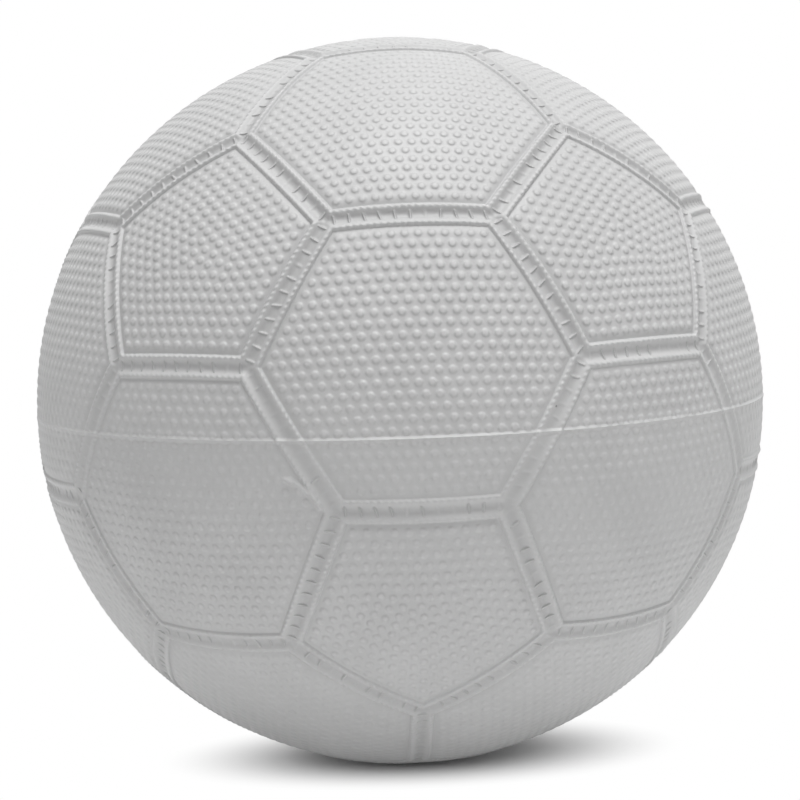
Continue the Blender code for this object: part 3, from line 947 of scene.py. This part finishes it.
ridge = add_range(tree, narrow, 0, STITCH_FOOT, STITCH_TOP, ease="SMOOTHSTEP")
length = add_range(tree, sides, "Y", STITCH_END, STITCH_FULL, ease="SMOOTHSTEP")
wire(tree, (rough, 0, shader, "Roughness"), (way, "UV", out, 0), (place, "Object", height, 0),
     (beside, "UV", sides, 0), (sides, "X", narrow, 0))
grain_bump = add_bump(tree, skin, "Grain", GRAIN_DEPTH, shader)
crown_bump = add_bump(tree, multiply(tree, crown, half), 0, CROWN_DEPTH, grain_bump)
add_bump(tree, multiply(tree, ridge, length), 0, STITCH_DEPTH, crown_bump)
for piece in cover:
    piece.data.materials.append(cover_rubber)
print("cover rubber has", len(tree.nodes), "nodes")

# %% [markdown]
# ## The plain rubbers
# The bladder is black butyl with a haze of talc, the patches are black sheet rubber, the valve's bush is a
# smooth dark rubber, and its core a soft grey one. They differ in tone, gloss and fineness only, so one
# function makes them all from the rubber skin.

# %% Plain rubbers
DRIFT_LOW, DRIFT_HIGH = 0.35, 0.65


def plain_rubber(name, dark, pale, fineness, gloss, grain_depth):
    """A rubber whose tone drifts from dark to pale; gloss gives the lowest and highest roughness."""
    made, tree, shader = start_material(name)
    skin, _ = skin_of(tree, fineness)
    drift = add_range(tree, skin, "Drift", DRIFT_LOW, DRIFT_HIGH)
    rough = add_range(tree, skin, "Grain", NOISE_LOW, NOISE_HIGH, *gloss)
    wire(tree, (blend_colour(tree, drift, 0, dark, pale), 2, shader, "Base Color"),
         (rough, 0, shader, "Roughness"))
    add_bump(tree, skin, "Grain", grain_depth, shader)
    return made


butyl = plain_rubber("butyl", (0.024, 0.024, 0.026), (0.075, 0.074, 0.072), 900.0, (0.42, 0.68), 0.00003)
sheet_rubber = plain_rubber("sheet_rubber", (0.038, 0.038, 0.040), (0.060, 0.060, 0.061), 1700.0,
                            (0.50, 0.70), 0.00004)
bush_rubber = plain_rubber("bush_rubber", (0.052, 0.052, 0.054), (0.075, 0.075, 0.076), 3200.0,
                           (0.44, 0.60), 0.00001)
core_rubber = plain_rubber("core_rubber", (0.47, 0.47, 0.46), (0.56, 0.56, 0.55), 3800.0,
                           (0.46, 0.62), 0.00001)
bush.data.materials.append(bush_rubber)
core.data.materials.append(core_rubber)
print("plain rubbers", [rubber.name for rubber in (butyl, sheet_rubber, bush_rubber, core_rubber)])

# %% [markdown]
# ## Wound thread
# Under the cover a nylon thread is wound round the bladder on great circles in all directions and fixed with
# latex. Three wave textures, each turned another way, give the threads of three windings, and a noise
# says which winding lies on top at a place. The same waves are the threads' relief.

# %% Thread winding
THREAD_SCALE, THREAD_DEPTH, THREAD_ROUGHNESS, WINDING_SIZE = 330.0, 0.0002, 0.72, 26.0
WINDING_TURNS = ((0.4, 0.2, 0.0), (1.3, -0.6, 0.9), (-0.8, 0.9, 2.0))
WINDING_LIMITS, WINDING_EDGE = (0.45, 0.56), 0.01
LATEX_TONE, NYLON_TONE = (0.36, 0.33, 0.27), (0.76, 0.74, 0.67)
WAVE_FACTOR = 20
thread, tree, shader = start_material("wound_thread")
place = add_node(tree, "TexCoord")
shader.inputs["Roughness"].default_value = THREAD_ROUGHNESS
windings = []
for turn in WINDING_TURNS:
    turned_place = add_node(tree, "Mapping", {"Rotation": turn})
    strands = add_node(tree, "TexWave", {"Scale": THREAD_SCALE, "Distortion": 0.6, "Detail": 1.0},
                       bands_direction="X")
    wire(tree, (place, "Object", turned_place, "Vector"), (turned_place, "Vector", strands, "Vector"))
    windings.append((strands, "Fac"))
on_top = add_node(tree, "TexNoise", {"Scale": WINDING_SIZE, "Detail": 0.0})
wire(tree, (place, "Object", on_top, "Vector"))
lying = windings[0]
for limit, strands in zip(WINDING_LIMITS, windings[1:]):
    over = add_range(tree, on_top, "Fac", limit, limit + WINDING_EDGE)
    pick = add_node(tree, "Mix")
    wire(tree, (over, 0, pick, 0), (*lying, pick, 2), (*strands, pick, 3))
    lying = pick, 0
wire(tree, (blend_colour(tree, *lying, LATEX_TONE, NYLON_TONE), 2, shader, "Base Color"))
add_bump(tree, *lying, THREAD_DEPTH, shader)
print("threads", round(2 * math.pi / WAVE_FACTOR / THREAD_SCALE * 1000, 2), "mm apart")

# %% [markdown]
# The inner layers keep their CAD shapes, which the cover hides, and take their finish here.

# %% Dress the inner layers
for node, finish in (("thread_winding", thread), ("bladder", butyl), ("valve_patch", sheet_rubber),
                     ("balance_patch", sheet_rubber)):
    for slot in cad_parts[node].material_slots:
        slot.material = finish
    print(node, "is dressed in", finish.name)

# %% [markdown]
# ## Studio floor
# The ball lies on a sheet of white paper in a darker room. The paper is matt close to the ball, where it
# takes the shadow, and plain white further out for whatever looks at it: the camera, gloss and clear things.
# An oval mask joins the two. The light that comes back from the floor gets weaker past the paper's edge.

# %% Studio floor
PAPER_TONE, ROOM_TONE = 0.94, 0.50
PAPER_START, PAPER_END = 0.25, 0.60
FLOOR_DROP, FLOOR_SIZE = 0.0002, 6.0
SHADOW_START, SHADOW_END = 0.023, 0.070
SHADOW_STRETCH, SHADOW_SHIFT = 1.76, 0.003


def seen_directly(tree):
    """A node that gives 1 for what the camera, gloss or clear things see, 0 for what only lights."""
    path = add_node(tree, "LightPath")
    either = add_node(tree, "Math", operation="MAXIMUM")
    seen = add_node(tree, "Math", operation="MAXIMUM")
    wire(tree, (path, "Is Camera Ray", either, 0), (path, "Is Glossy Ray", either, 1), (either, 0, seen, 0),
         (path, "Is Transmission Ray", seen, 1))
    return seen


sheet = bmesh.new()
bmesh.ops.create_grid(sheet, x_segments=1, y_segments=1, size=FLOOR_SIZE)
bmesh.ops.translate(sheet, verts=sheet.verts[:], vec=(0, 0, -FLOOR_DROP))
floor = put_in_scene("floor", bpy.data.meshes.new("floor"))
sheet.to_mesh(floor.data)
sheet.free()
paper, tree, shader = start_material("studio_paper")
shader.inputs["Roughness"].default_value = 1.0
shader.inputs["Specular IOR Level"].default_value = 0.0
place = add_node(tree, "TexCoord")
oval = add_node(tree, "Mapping", {"Location": (-SHADOW_SHIFT, 0, 0), "Scale": (1, SHADOW_STRETCH, 1)})
reach = add_node(tree, "VectorMath", operation="LENGTH")
fade = add_range(tree, reach, "Value", SHADOW_START, SHADOW_END, ease="SMOOTHSTEP")
plain = multiply(tree, fade, seen_directly(tree))
across = add_node(tree, "VectorMath", operation="LENGTH")
bounce = add_range(tree, across, "Value", PAPER_START, PAPER_END, PAPER_TONE, ROOM_TONE)
white = add_node(tree, "Emission")
paper_mix = add_node(tree, "MixShader")
wire(tree, (place, "Object", across, 0), (bounce, 0, shader, "Base Color"), (place, "Object", oval, 0),
     (oval, "Vector", reach, 0), (plain, 0, paper_mix, 0), (shader, 0, paper_mix, 1),
     (white, 0, paper_mix, 2), (paper_mix, 0, tree.nodes["Material Output"], "Surface"))
floor.data.materials.append(paper)
print("paper turns white", round(SHADOW_END * 1000), "mm from the ball's foot")

# %% [markdown]
# ## Surrounding light
# White walls light the ball from behind and from the sides. The camera's side is darker, and the ceiling is
# darkest, because the lamp hangs there. What looks past the ball sees plain white.

# %% Surrounding light
FRONT_LIGHT, BACK_LIGHT, CEILING_LIGHT, CEILING_START = 0.52, 1.0, 0.26, 0.6
FRONT_WALL, BACK_WALL = -1.0, 0.5
world = bpy.data.worlds.new("studio")
world.use_nodes = True
bpy.context.scene.world = world
tree = world.node_tree
direction = add_node(tree, "TexCoord")
upward = add_node(tree, "SeparateXYZ")
wall = add_range(tree, upward, "Y", FRONT_WALL, BACK_WALL, FRONT_LIGHT, BACK_LIGHT)
level = add_range(tree, upward, "Z", 0.0, CEILING_START, high=CEILING_LIGHT)
walls = tree.nodes["Background"]
walls.inputs["Color"].default_value = (1, 1, 1, 1)
white = add_node(tree, "Background", {"Color": (1, 1, 1, 1)})
world_mix = add_node(tree, "MixShader")
wire(tree, (direction, "Generated", upward, 0), (wall, 0, level, "To Min"), (level, 0, walls, "Strength"),
     (seen_directly(tree), 0, world_mix, 0), (walls, 0, world_mix, 1), (white, 0, world_mix, 2),
     (world_mix, 0, tree.nodes["World Output"], "Surface"))
print("walls", FRONT_LIGHT, "to", BACK_LIGHT, "ceiling", CEILING_LIGHT)

# %% [markdown]
# ## Lamp
# A round softbox hangs above the ball, a little to the right and to the camera's side. It is small enough to
# give each pimple a bright top and a soft dark edge below.

# %% Lamp
LAMP_SIZE, LAMP_PLACE, LAMP_POWER = 0.75, (0.15, -0.29, 1.33), 12.7
lamp = bpy.data.lights.new("softbox", "AREA")
lamp.shape = "DISK"
lamp.size = LAMP_SIZE
lamp.energy = LAMP_POWER
softbox = put_in_scene("softbox", lamp)
softbox.location = LAMP_PLACE
softbox.rotation_mode = "QUATERNION"
softbox.rotation_quaternion = (CENTRE - softbox.location).to_track_quat("-Z", "Y")
bpy.context.scene.view_settings.view_transform = "Standard"
print("lamp", LAMP_POWER, "W,", LAMP_SIZE, "m wide")
